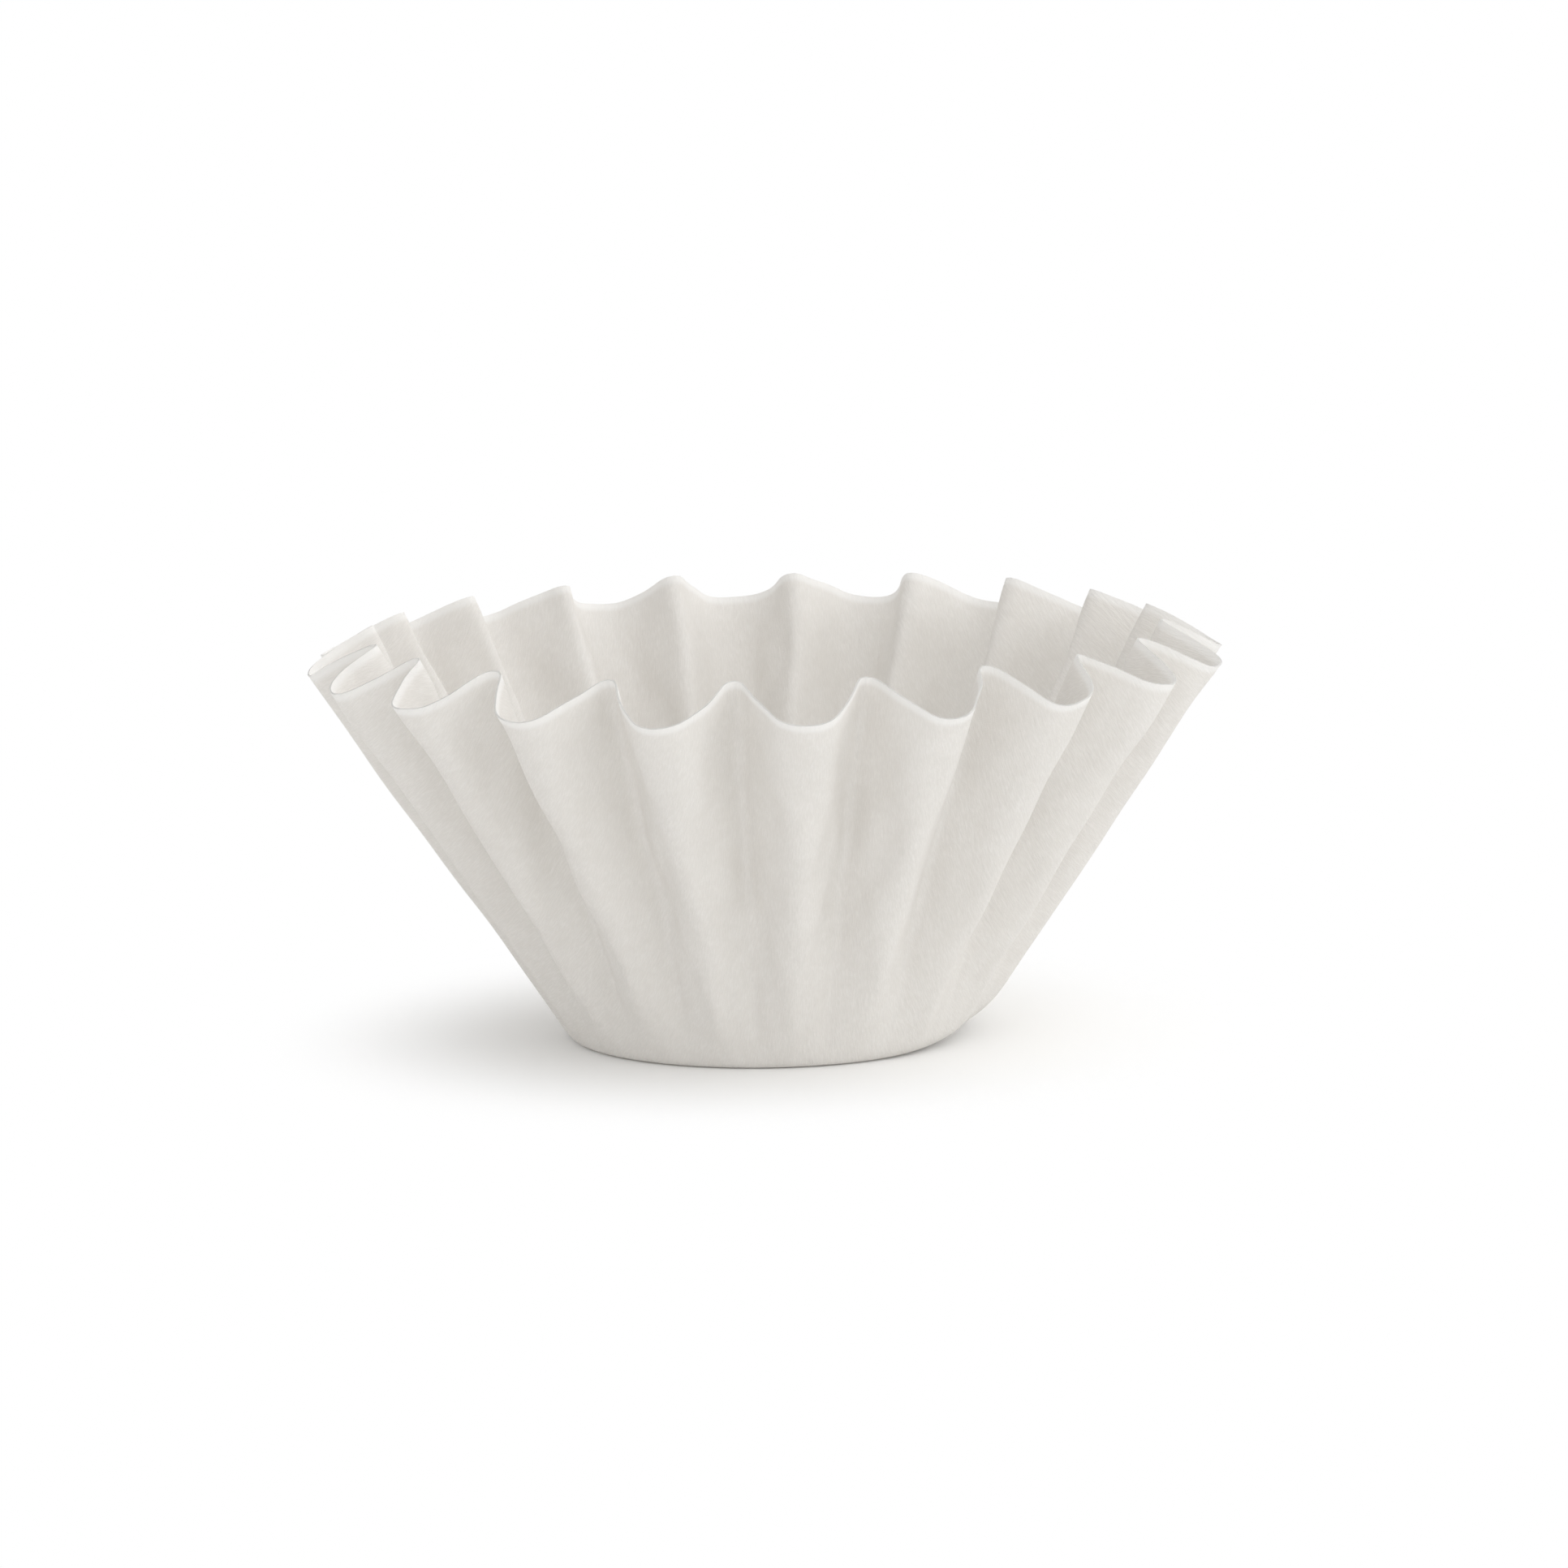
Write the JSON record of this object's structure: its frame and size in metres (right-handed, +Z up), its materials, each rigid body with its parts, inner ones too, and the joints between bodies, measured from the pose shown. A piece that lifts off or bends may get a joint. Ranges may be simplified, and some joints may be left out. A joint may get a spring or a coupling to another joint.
{
  "type": "paper coffee filter",
  "caption": "Flat-bottomed paper coffee filter, a round sheet with its wall pressed into deep flutes, which stands in a flat-bed brewer and holds the ground coffee.",
  "frame": {"origin": "middle of the underside of the flat base, on the surface that the filter stands on", "axes": "+Z up the filter's own axis towards the open rim, +X and +Y each through the crest of a lobe"},
  "size_m": [0.1078, 0.1078, 0.0484],
  "materials": {
    "paper": "matte"
  },
  "bodies": {
    "root": {"filter_paper": "paper"}
  },
  "joints": []
}
